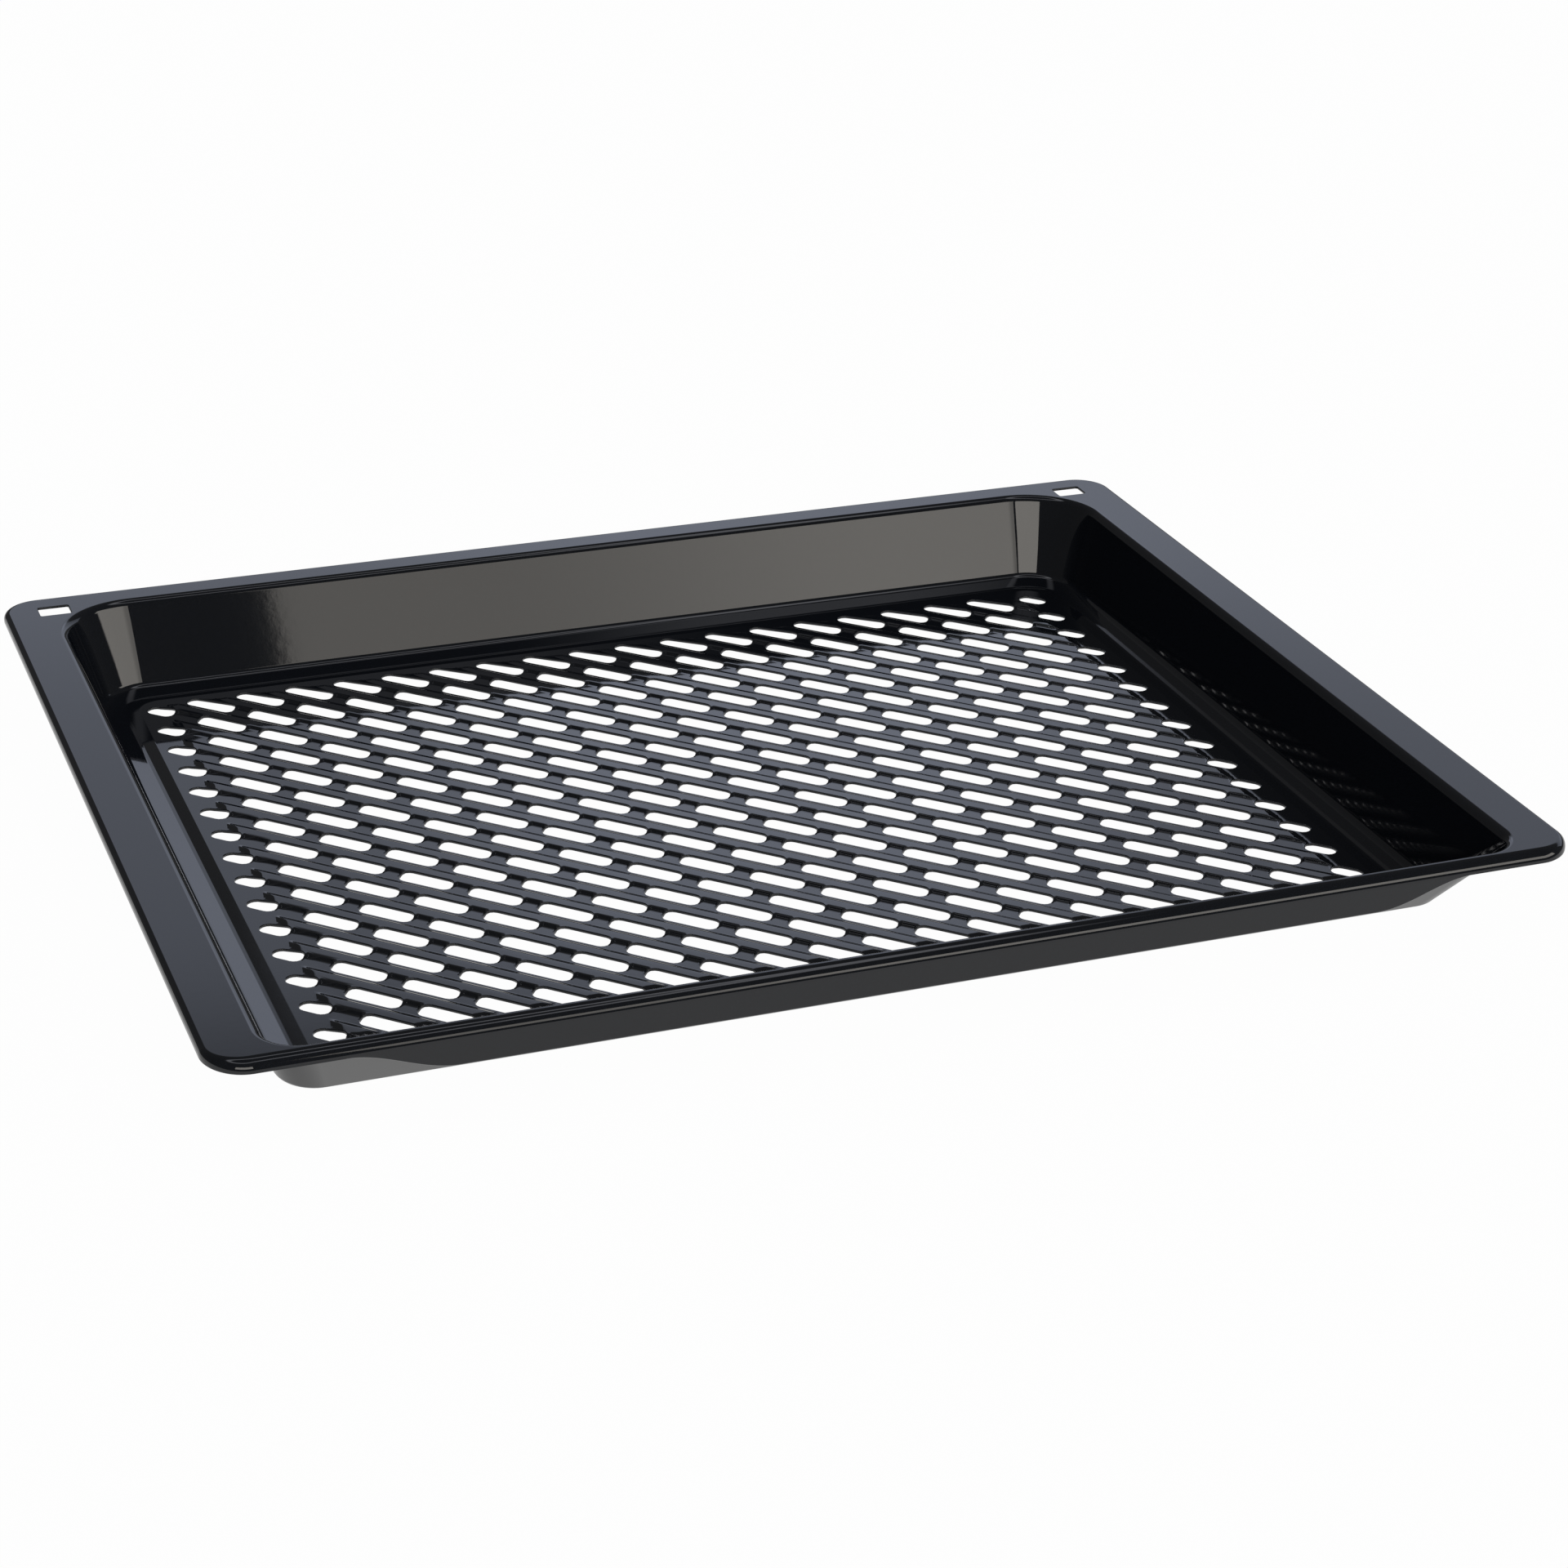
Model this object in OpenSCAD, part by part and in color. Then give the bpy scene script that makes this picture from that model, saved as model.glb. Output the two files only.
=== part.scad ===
// Enamelled oven grill plate: one pressed sheet with a shallow well, a floor of slots and raised
// ribs on the diagonal, a rim turned down at the sides and back, and a deeper apron in front.
// Millimetres. Centred in plan, the front at -Y, standing on z = 0.

/* [Overall] */
// Width over the rim, left to right
tray_w = 455; // [440:1:470]
// Depth over the rim, front to back
tray_d = 375; // [360:1:390]
// Height from what it stands on to the top of the rim
tray_h = 32; // [28:0.5:38]
// Thickness of the enamelled sheet
sheet_t = 1; // [0.8:0.05:1.2]

/* [Rim] */
// Width of the rim at the left and right, to the mouth of the well
rim_side = 16.6; // [15:0.2:20]
// Width of the rim at the back, to the mouth of the well
rim_back = 10.7; // [9:0.1:14]
// Width of the rim at the front, to the mouth of the well
rim_front = 4.3; // [4.3:0.1:7]
// Radius of the outer corners, seen from above
corner_r = 13.5; // [11:0.5:18]
// Outer radius of the turned-down edge at the sides and back
edge_r = 2.2; // [1.6:0.1:3]
// Drop of the turned-down edge at the sides and back
lip_h = 3.6; // [3.2:0.1:5]
// Outer radius of the turned-down edge in front
front_edge_r = 4; // [3:0.1:4]
// Drop of the turned-down edge in front, at both ends of the apron
front_lip_h = 4.2; // [4.1:0.1:6]

/* [Apron] */
// Drop of the front apron in its straight middle
apron_h = 12.3; // [9:0.1:16]
// Distance from the side of the tray to where the apron starts to deepen
apron_inset = 40; // [30:1:60]
// Length over which the apron swings down to its full drop
apron_swing = 35; // [20:1:50]

/* [Rear holes] */
// Width of each rectangular hole in the rear corners, left to right
hole_w = 11.4; // [8:0.2:12]
// Depth of each rectangular hole, front to back
hole_d = 8.4; // [6:0.2:9]
// Distance from the side of the tray to the middle of a hole
hole_from_side = 18.6; // [18:0.2:20]
// Distance from the back of the tray to the middle of a hole
hole_from_back = 14.2; // [13:0.2:15]

/* [Well] */
// Lean of the side walls from upright
side_draft = 18.5; // [10:0.5:25]
// Lean of the back wall from upright
back_draft = 25; // [15:1:35]
// Lean of the front wall from upright
front_draft = 41.5; // [25:0.5:45]
// Radius of the bend from the rim into the walls at the sides and back
mouth_r = 3.4; // [2:0.1:4]
// Radius of the bend from the rim into the front wall
front_mouth_r = 2; // [1.5:0.1:3]
// Radius of the bend at the foot of the walls
foot_r = 3; // [2:0.25:5]
// Corner radius of the mouth at the back, seen from above
mouth_corner_back = 30; // [24:1:36]
// Corner radius of the mouth at the front, seen from above
mouth_corner_front = 14.5; // [12:0.5:18]
// Corner radius at the foot of the walls at the back
foot_corner_back = 19; // [16:1:24]
// Corner radius at the foot of the walls at the front
foot_corner_front = 12; // [11:0.5:14]
// Corner radius of the land at the back, seen from above
land_corner_back = 13; // [10:0.5:16]
// Corner radius of the land at the front, seen from above
land_corner_front = 8; // [6:0.5:10]
// Corner radius of the slotted field at the back
field_corner_back = 9; // [7:0.5:12]
// Corner radius of the slotted field at the front
field_corner_front = 6; // [5:0.5:8]

/* [Floor edge] */
// Width of the sloping border inside the foot of the walls
border_w = 7.5; // [5:0.1:9]
// Rise of the border towards the walls, in degrees
border_rise = 10; // [4:1:14]
// Width of the flat land at the lowest line of the floor, which the tray stands on
land_w = 1.2; // [0.8:0.1:2]
// Width of the shallow step from the land up to the slotted field
step_w = 4.5; // [3:0.1:7]
// Height of the slotted field above the land
step_h = 0.4; // [0.2:0.05:1]
// Radius of the creases of the floor edge
crease_r = 4; // [2:0.5:6]

/* [Slots] */
// Spacing of the slots, the same from left to right and from front to back
pitch = 18.7; // [16:0.1:24]
// Length of a slot
slot_l = 20.2; // [16:0.2:22]
// Length of the short slots that close each row at the left and right
slot_short_l = 11.4; // [9:0.2:14]
// Width of a slot
slot_w = 6.2; // [4:0.2:7]
// Least distance from the middle of an end slot to the left or right edge of the field
side_gap = 7; // [6.8:0.2:12]
// Distance from the middle of the first row of slots to the back edge of the field
back_gap = 10.8; // [9.6:0.2:14]
// Least distance from the middle of the last row of slots to the front edge of the field
front_gap = 16; // [9.6:0.2:24]

/* [Ribs] */
// Height of the ribs above the field
rib_h = 1.1; // [0.5:0.1:1.5]
// Width of a rib's flat top
rib_top_w = 5.2; // [4:0.1:6]
// Width of each sloping flank of a rib
rib_flank_w = 1.2; // [0.6:0.1:1.6]
// Length of the slope at each end of a rib
rib_end_l = 3; // [1:0.5:4]
// Distance from the middle of an end slot in to the ends of the ribs, at the left and right
rib_side_inset = 1.8; // [0:0.2:4]
// Distance from the middle of an end slot out to the ends of the ribs, at the front and back
rib_row_reach = 5.6; // [3:0.2:8]

/* [Hidden] */

enamel = "#2b2f38";
slot_fine = 24;
lap = 0.2;
corner_steps = 8;
bend_steps = 4;
crease_steps = 2;
swing_steps = 12;

// Levels, measured from what the tray stands on
rim_z = tray_h;
land_z = sheet_t;
field_z = land_z + step_h;

// Mouth of the well, as distances from the middle of the tray
mouth_x = tray_w / 2 - rim_side;
mouth_back = tray_d / 2 - rim_back;
mouth_front = tray_d / 2 - rim_front;

step_slope = atan2(step_h, step_w);
foot_drop = rim_z - land_z - border_w * tan(border_rise);

// How far in from the mouth a wall's foot line lies, for a wall of that lean and mouth radius
function foot_in(draft, r) = r * tan((90 - draft) / 2) + foot_drop * tan(draft);

// How far in from the mouth the edge of the slotted field lies
function field_in(draft, r) = foot_in(draft, r) + border_w + land_w + step_w;

field_x = mouth_x - field_in(side_draft, mouth_r);
field_back = mouth_back - field_in(back_draft, mouth_r);
field_front = mouth_front - field_in(front_draft, front_mouth_r);

// Columns and rows that fit the field, and their first places
cols = floor(2 * (field_x - side_gap) / pitch) + 1;
rows = floor((field_back - back_gap + field_front - front_gap) / pitch) + 1;
col_x = -(cols - 1) * pitch / 2;
row_y = field_back - back_gap;

// A bend in the section of the sheet, from slope a0 to slope a1 (degrees below level, going in).
// Each point is [distance in from the mouth, height below the rim, slope, number of its corner].
function bend(at, a0, a1, r, steps, corner) =
    let (s = a1 > a0 ? r : -r)
    let (cut = r * tan(abs(a1 - a0) / 2))
    let (start = [at[0] - cut * cos(a0), at[1] + cut * sin(a0)])
    let (middle = [start[0] - s * sin(a0), start[1] - s * cos(a0)])
    [for (i = [0:steps])
        let (a = a0 + (a1 - a0) * i / steps)
        [middle[0] + s * sin(a), middle[1] + s * cos(a), a, corner]];

// Section of the sheet's top from the rim to the slotted field, for a wall of that lean
function section(draft, r) =
    let (steep = 90 - draft)
    let (foot = foot_in(draft, r))
    let (land = foot + border_w)
    concat(
        [[-lap, 0, 0, 0]],
        bend([r * tan(steep / 2), 0], 0, steep, r, bend_steps, 0),
        bend([foot, -foot_drop], steep, border_rise, foot_r, bend_steps, 1),
        bend([land, land_z - rim_z], border_rise, 0, crease_r, crease_steps, 2),
        bend([land + land_w, land_z - rim_z], 0, -step_slope, crease_r, 1, 2),
        bend([land + land_w + step_w, field_z - rim_z], -step_slope, 0, crease_r, 1, 3),
        [[field_in(draft, r) + lap + crease_r * tan(step_slope / 2), field_z - rim_z, 0, 3]]);

// Corner radii in plan at the mouth, the foot, the land and the edge of the field
back_radii = [mouth_corner_back, foot_corner_back, land_corner_back, field_corner_back];
front_radii = [mouth_corner_front, foot_corner_front, land_corner_front, field_corner_front];
function corner_in(draft, r) =
    [0, foot_in(draft, r), foot_in(draft, r) + border_w, field_in(draft, r)];

side_corner_in = corner_in(side_draft, mouth_r);
back_corner_in = corner_in(back_draft, mouth_r);
front_corner_in = corner_in(front_draft, front_mouth_r);

side_section = section(side_draft, mouth_r);
back_section = section(back_draft, mouth_r);
front_section = section(front_draft, front_mouth_r);
section_n = len(side_section);

// A point of a section moved to depth t below the sheet's top
function sunk(p, t) = [p[0] - t * sin(p[2]), p[1] - t * cos(p[2])];

// One quarter of a ring round the well: section point k at depth t, quarter q of the four corners
function quarter(k, t, q) =
    let (back = q < 2)
    let (right = q == 0 || q == 3)
    let (side = sunk(side_section[k], t))
    let (end = sunk(back ? back_section[k] : front_section[k], t))
    let (c = side_section[k][3])
    let (in_side = side_corner_in[c])
    let (in_end = (back ? back_corner_in : front_corner_in)[c])
    let (r = (back ? back_radii : front_radii)[c] - (side[0] - in_side + end[0] - in_end) / 2)
    let (half_w = mouth_x - side[0])
    let (half_d = (back ? mouth_back : mouth_front) - end[0])
    [for (i = [0:corner_steps])
        let (a = 90 * (q + i / corner_steps))
        [(right ? 1 : -1) * (half_w - r) + r * cos(a),
         (back ? 1 : -1) * (half_d - r) + r * sin(a),
         rim_z + side[1] * pow(cos(a), 2) + end[1] * pow(sin(a), 2)]];

function ring(k, t) = [for (q = [0:3]) each quarter(k, t, q)];

// Closed shell through rings of equally many points, the last ring joined to the first
module closed_shell(rings) {
    ring_n = len(rings[0]);
    loop_n = len(rings);
    faces = [for (j = [0:loop_n - 1], i = [0:ring_n - 1])
        let (a = j * ring_n + i)
        let (b = j * ring_n + (i + 1) % ring_n)
        let (c = (j + 1) % loop_n * ring_n + (i + 1) % ring_n)
        let (d = (j + 1) % loop_n * ring_n + i)
        each [[a, c, b], [a, d, c]]];
    polyhedron([for (r = rings) each r], faces);
}

// Walls, foot and floor edge of the well: the section carried round the mouth, top and underside
module well_shell() {
    closed_shell(concat(
        [for (k = [0:section_n - 1]) ring(k, 0)],
        [for (k = [section_n - 1:-1:0]) ring(k, sheet_t)]));
}

// Rectangle with two corner radii, back and front, as the points of its outline
module round_rect(half_w, back, front, r_back, r_front) {
    polygon([for (q = [0:3], i = [0:corner_steps])
        let (r = q < 2 ? r_back : r_front)
        let (a = 90 * (q + i / corner_steps))
        [(q == 0 || q == 3 ? 1 : -1) * (half_w - r) + r * cos(a),
         (q < 2 ? back - r : r - front) + r * sin(a)]]);
}

// Section of the turned-down edge for a bend of radius r and a drop: [distance in, height].
// It runs from the rim's top over the outside to the lip's lower end and back along the inside.
function edge_section(r, drop) = concat(
    [[r + lap, 0]],
    [for (i = [0:bend_steps]) let (a = 90 * i / bend_steps)
        [r * (1 - sin(a)), -r * (1 - cos(a))]],
    [[0, -drop], [sheet_t, -drop]],
    [for (i = [bend_steps:-1:0]) let (a = 90 * i / bend_steps)
        [r - (r - sheet_t) * sin(a), -r + (r - sheet_t) * cos(a)]],
    [[r + lap, -sheet_t]]);

// Ring k of the edge round the outline; in the front corners the bend and the drop of the sides
// change over into those of the front
function edge_ring(k) =
    [for (q = [0:3], i = [0:corner_steps])
        let (a = 90 * (q + i / corner_steps))
        let (front = q < 2 ? 0 : pow(sin(a), 2))
        let (r = edge_r + (front_edge_r - edge_r) * front)
        let (p = edge_section(r, lip_h + (front_lip_h - lip_h) * front)[k])
        [(q == 0 || q == 3 ? 1 : -1) * (tray_w / 2 - corner_r) + (corner_r - p[0]) * cos(a),
         (q < 2 ? 1 : -1) * (tray_d / 2 - corner_r) + (corner_r - p[0]) * sin(a),
         rim_z + p[1]]];

// Turned-down edge all round
module edge_shell() {
    closed_shell([for (k = [2 * bend_steps + 5:-1:0]) edge_ring(k)]);
}

// Flat rim: from the start of the edge's bend to the mouth of the well, less the rear holes
module rim() {
    hole_x = tray_w / 2 - hole_from_side;
    hole_y = tray_d / 2 - hole_from_back;
    translate([0, 0, rim_z - sheet_t]) linear_extrude(sheet_t) difference() {
        polygon([for (p = edge_ring(1)) [p[0], p[1]]]);
        round_rect(mouth_x, mouth_back, mouth_front, mouth_corner_back, mouth_corner_front);
        for (x = [-hole_x, hole_x]) translate([x, hole_y]) square([hole_w, hole_d], center = true);
    }
}

// Deeper apron along the front, whose ends swing up in an S to the drop of the lip
module apron() {
    end_x = tray_w / 2 - apron_inset;
    deep_x = end_x - apron_swing;
    swing = [for (i = [0:swing_steps])
        let (s = i / swing_steps)
        [deep_x + apron_swing * s,
         -front_lip_h - (apron_h - front_lip_h) * (1 + cos(180 * s)) / 2]];
    right = concat(swing, [[end_x, -front_edge_r]]);
    left = [for (i = [len(right) - 1:-1:0]) [-right[i][0], right[i][1]]];
    translate([0, -tray_d / 2 + sheet_t, rim_z]) rotate([90, 0, 0])
        linear_extrude(sheet_t) polygon(concat(right, left));
}

// Round-ended slot on the diagonal, cut through the sheet
module slot(length) {
    run = length - slot_w;
    rotate([0, 0, -45]) linear_extrude(field_z + rib_h + 2) {
        square([run, slot_w], center = true);
        for (x = [-run / 2, run / 2]) translate([x, 0]) circle(slot_w / 2, $fn = slot_fine);
    }
}

module slots() {
    for (i = [0:cols - 1], j = [0:rows - 1])
        translate([col_x + i * pitch, row_y - j * pitch, -1])
            slot(i == 0 || i == cols - 1 ? slot_short_l : slot_l);
}

// Ridges along the diagonals midway between the slots: trapezoids, from base_z up to top_z
module ridges(top_w, flank_w, base_z, top_z) {
    half = (cols + rows) * pitch;
    root_z = base_z - (top_z - base_z);
    root_w = top_w + 4 * flank_w;
    for (k = [0:cols + rows - 3])
        translate([-col_x, row_y - (k + 0.5) * pitch, 0]) rotate([0, 0, -45]) rotate([90, 0, 90])
            linear_extrude(2 * half, center = true)
                polygon([[-root_w / 2, root_z], [root_w / 2, root_z],
                         [top_w / 2, top_z], [-top_w / 2, top_z]]);
}

// Block with four sloping sides that ends the ridges, its top edge inside its base by end_l
module ridge_field(side, back, front, end_l, base_z, top_z) {
    rise = top_z - base_z;
    intersection() {
        rotate([90, 0, 0]) linear_extrude(2 * tray_d, center = true)
            polygon([[-side - end_l, base_z - rise], [side + end_l, base_z - rise],
                     [side - end_l, top_z], [-side + end_l, top_z]]);
        rotate([90, 0, 90]) linear_extrude(2 * tray_w, center = true)
            polygon([[-front - end_l, base_z - rise], [back + end_l, base_z - rise],
                     [back - end_l, top_z], [-front + end_l, top_z]]);
    }
}

// Pressed ribs, or the hollows under them when sunk by the sheet's thickness
module ribs(depth) {
    flank = atan2(rib_h, rib_flank_w);
    end = atan2(rib_h, rib_end_l);
    in_flank = depth * tan(flank / 2);
    in_end = depth * tan(end / 2);
    base_z = field_z - depth;
    side = -col_x - rib_side_inset - in_end;
    back = row_y + rib_row_reach - in_end;
    front = (rows - 1) * pitch - row_y + rib_row_reach - in_end;
    intersection() {
        ridges(rib_top_w - 2 * in_flank, rib_flank_w, base_z, base_z + rib_h);
        ridge_field(side, back, front, rib_end_l, base_z, base_z + rib_h);
    }
}

// Slotted field of the floor with its ribs
module field() {
    difference() {
        union() {
            translate([0, 0, field_z - sheet_t]) linear_extrude(sheet_t)
                round_rect(field_x, field_back, field_front, field_corner_back, field_corner_front);
            intersection() {
                ribs(0);
                translate([0, 0, field_z - sheet_t / 2]) linear_extrude(rib_h + sheet_t)
                    square([tray_w, tray_d], center = true);
            }
        }
        ribs(sheet_t);
        slots();
    }
}

module grill_plate() {
    color(enamel) union() {
        rim();
        edge_shell();
        apron();
        well_shell();
        field();
    }
}

grill_plate();
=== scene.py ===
"""Oven grill plate: one steel sheet, pressed, punched and enamelled, in a white studio.

The sheet is worked out as arrays in millimetres, with x to the right, y to the back and z up from
what the tray stands on, and goes into one mesh in metres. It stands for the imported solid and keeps
that solid's form, with finer bends, softly rounded punched edges and ribs with one long slope.
"""

import logging
from collections.abc import Callable
from dataclasses import dataclass, field
from enum import Enum

import bpy
import numpy as np
from mathutils import Matrix, Vector
from mathutils.geometry import delaunay_2d_cdt

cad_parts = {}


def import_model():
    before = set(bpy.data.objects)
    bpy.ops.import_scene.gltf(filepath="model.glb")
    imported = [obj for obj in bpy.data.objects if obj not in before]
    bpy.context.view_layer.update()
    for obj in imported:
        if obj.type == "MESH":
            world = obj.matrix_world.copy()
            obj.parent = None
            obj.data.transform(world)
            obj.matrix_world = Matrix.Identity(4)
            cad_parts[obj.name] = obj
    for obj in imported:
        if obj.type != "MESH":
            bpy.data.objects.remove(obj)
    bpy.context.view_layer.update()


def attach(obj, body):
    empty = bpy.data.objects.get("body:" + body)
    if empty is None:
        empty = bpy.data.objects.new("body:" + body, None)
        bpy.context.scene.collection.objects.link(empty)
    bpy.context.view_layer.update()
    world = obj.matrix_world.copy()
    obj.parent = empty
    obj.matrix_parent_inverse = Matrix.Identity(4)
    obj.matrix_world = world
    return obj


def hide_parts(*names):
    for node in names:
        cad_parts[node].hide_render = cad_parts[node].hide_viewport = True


LOG = logging.getLogger("grill_plate")
MM = 0.001
WELD_PER_MM = 1e4
MERGE_MM = 1e-5
NODE = "grill_plate"
Array = np.ndarray
# Plan directions along a slot, and from a line of slots towards the back right.
ALONG = np.array([1.0, -1.0]) / np.sqrt(2)
ACROSS = np.array([1.0, 1.0]) / np.sqrt(2)
Outline = Callable[[float], tuple[Array, Array]]
Surface = Callable[[Array], tuple[Array, Array]]


class Skin(Enum):
    """The two faces of the sheet, as the share of its thickness that lies above them."""

    TOP = 0.0
    UNDER = 1.0

    @property
    def sign(self) -> float:
        """1 for the face that looks up, -1 for the one that looks down."""
        return 1.0 if self is Skin.TOP else -1.0


def unit(v: Array) -> Array:
    """Vectors along the last axis, each divided by its own length."""
    return v / np.maximum(np.linalg.norm(v, axis=-1, keepdims=True), 1e-12)


def soft_step(t: Array) -> Array:
    """0 below t = 0, 1 above t = 1, and 3 t^2 - 2 t^3 in between."""
    t = np.clip(t, 0.0, 1.0)
    return t * t * (3.0 - 2.0 * t)


def linear(hex_colour: str) -> tuple[float, float, float, float]:
    """An sRGB hex colour as linear red, green, blue and an alpha of 1.

    Args:
        hex_colour: Six hex digits after a hash.

    Returns:
        The linear colour, each channel from the sRGB curve: c / 12.92 when dark, else
        ((c + 0.055) / 1.055) to the power 2.4.
    """
    c = np.array([int(hex_colour[i:i + 2], 16) for i in (1, 3, 5)]) / 255.0
    rgb = np.where(c <= 0.04045, c / 12.92, ((c + 0.055) / 1.055) ** 2.4)
    return (*(float(v) for v in rgb), 1.0)


@dataclass
class Patchwork:
    """Collects points, their normals and faces, and welds them into one mesh."""

    points: list[Array] = field(default_factory=list)
    normals: list[Array] = field(default_factory=list)
    faces: list[Array] = field(default_factory=list)
    count: int = 0

    def add(self, points: Array, normals: Array, faces: Array) -> None:
        """Adds one patch.

        Args:
            points: Places in millimetres, one row of three each.
            normals: The surface's own outward directions there.
            faces: Rows of three or four indices into the patch's points.
        """
        self.points.append(points.reshape(-1, 3))
        self.normals.append(unit(normals.reshape(-1, 3)))
        self.faces.append(faces + self.count)
        self.count += len(self.points[-1])

    def add_grid(self, points: Array, normals: Array) -> None:
        """Adds quads over one or more grids of rows by columns whose columns close on themselves.

        Args:
            points: Rows by columns by three, or rows by grids by columns by three, in millimetres.
            normals: Outward directions in the same layout.
        """
        at = np.arange(points[..., 0].size).reshape(points.shape[:-1])
        step = np.roll(at, -1, axis=-1)
        quads = np.stack([at[:-1], step[:-1], step[1:], at[1:]], axis=-1)
        self.add(points, normals, quads.reshape(-1, 4))

    def build(self, name: str) -> bpy.types.Object:
        """Welds points closer than a tenth of a micron, turns faces outwards and makes the object.

        A face is turned round where the cross product of its diagonals (or of two edges) points
        against the mean of its corners' normals.

        Args:
            name: The object's name.

        Returns:
            The new object, smooth-shaded with the surface's own normals.
        """
        points = np.concatenate(self.points)
        normals = np.concatenate(self.normals)
        _, first, inverse = np.unique(
            np.round(points * WELD_PER_MM).astype(np.int64), axis=0, return_index=True,
            return_inverse=True)
        inverse = inverse.ravel()
        welded = points[first]
        summed = np.zeros_like(welded)
        np.add.at(summed, inverse, normals)
        summed = unit(summed)
        rows: list[list[int]] = []
        for patch in self.faces:
            ids = inverse[patch]
            whole = np.all([ids[:, i] != ids[:, i - 1] for i in range(ids.shape[1])], axis=0)
            ids = ids[whole]
            a, b, c, d = (welded[ids[:, i]] for i in (0, 1, 2, -1))
            turn = np.cross(c - a, d - b) if ids.shape[1] == 4 else np.cross(b - a, c - a)
            inside = np.einsum("ij,ij->i", turn, summed[ids].sum(axis=1)) < 0
            ids[inside] = ids[inside, ::-1]
            rows.extend(ids.tolist())
        mesh = bpy.data.meshes.new(name)
        mesh.from_pydata((welded * MM).tolist(), [], rows)
        mesh.polygons.foreach_set("use_smooth", np.ones(len(mesh.polygons), dtype=bool))
        mesh.update()
        mesh.normals_split_custom_set_from_vertices(summed.tolist())
        piece = bpy.data.objects.new(name, mesh)
        bpy.context.scene.collection.objects.link(piece)
        return piece


def bend(at: tuple[float, float], start: float, end: float, r: float, steps: int,
         corner: int) -> Array:
    """An arc of a sheet's section, which rounds the corner between two straight runs.

    Args:
        at: The corner as distance in from the mouth and height below the rim.
        start: Slope before the bend, in degrees below level going in.
        end: Slope after it.
        r: Radius of the arc.
        steps: Number of its parts.
        corner: Which of the well's four plan corners it follows.

    Returns:
        Rows of distance in, height, slope and corner. The arc starts r tan(half the turn) before
        the corner and turns about a centre at right angles to the first run.
    """
    s = r if end > start else -r
    cut = r * np.tan(np.radians(abs(end - start)) / 2)
    a0 = np.radians(start)
    first = np.array([at[0] - cut * np.cos(a0), at[1] + cut * np.sin(a0)])
    centre = first + s * np.array([-np.sin(a0), -np.cos(a0)])
    slope = np.linspace(start, end, steps + 1)
    a = np.radians(slope)
    return np.stack([centre[0] + s * np.sin(a), centre[1] + s * np.cos(a), slope,
                     np.full_like(a, corner)], axis=1)


def rounded_outline(half_l: float, half_w: float, r: float, grow: float,
                    angles: Array) -> tuple[Array, Array]:
    """A rectangle with round corners, grown outwards.

    Args:
        half_l: Half its length, along the first axis.
        half_w: Half its width.
        r: Corner radius before it grows.
        grow: Distance by which it grows.
        angles: Places on each corner's arc, in degrees from 0 to 90.

    Returns:
        The points in order round the outline, and the outward directions there. Each corner is its
        centre plus (r + grow) times the direction.
    """
    a = np.radians(np.concatenate([q * 90 + angles for q in range(4)]))
    out = np.stack([np.cos(a), np.sin(a)], axis=1)
    n = len(angles)
    sx = np.repeat([1.0, -1.0, -1.0, 1.0], n)
    sy = np.repeat([1.0, 1.0, -1.0, -1.0], n)
    centres = np.stack([sx * (half_l - r), sy * (half_w - r)], axis=1)
    return centres + (r + grow) * out, out


def fill(loops: list[Array], lines: Array | None = None,
         loose: Array | None = None) -> tuple[Array, Array]:
    """Triangles of a flat region between closed loops, with edges kept along given lines.

    Args:
        loops: Closed outlines, the outermost first. Each of the others bounds a hole.
        lines: Pairs of points along which edges run.
        loose: More points for the triangles to use.

    Returns:
        The points used and the triangles. A triangle whose corners all lie on one inner loop is
        inside that hole, because the holes are convex, and is left out.
    """
    coords, edges, labels, base = [], [], [], 0
    for k, loop in enumerate(loops):
        ids = base + np.arange(len(loop))
        coords.append(loop)
        edges.append(np.stack([ids, np.roll(ids, -1)], axis=1))
        labels.append(np.full(len(loop), k or -1))
        base += len(loop)
    if lines is not None:
        coords.append(lines.reshape(-1, 2))
        edges.append(base + np.arange(2 * len(lines)).reshape(-1, 2))
        labels.append(np.full(2 * len(lines), -1))
    if loose is not None:
        coords.append(loose)
        labels.append(np.full(len(loose), -1))
    flat = np.concatenate(coords)
    kept, place = np.unique(np.round(flat * WELD_PER_MM).astype(np.int64), axis=0,
                            return_inverse=True)
    place = place.ravel()
    label = np.full(len(kept), -1)
    np.maximum.at(label, place, np.concatenate(labels))
    spots = np.zeros((len(kept), 2))
    spots[place] = flat
    pairs = place[np.concatenate(edges)]
    pairs = np.unique(np.sort(pairs[pairs[:, 0] != pairs[:, 1]], axis=1), axis=0)
    done = delaunay_2d_cdt([Vector(p) for p in spots.tolist()], pairs.tolist(), [], 0, MERGE_MM,
                           True)
    tris = np.array(done[2])
    mark = np.array([max((label[i] for i in ids), default=-1) for ids in done[3]])[tris]
    hole = (mark[:, 0] >= 0) & (mark[:, 0] == mark[:, 1]) & (mark[:, 1] == mark[:, 2])
    return np.array([tuple(v) for v in done[0]]), tris[~hole]


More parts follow.
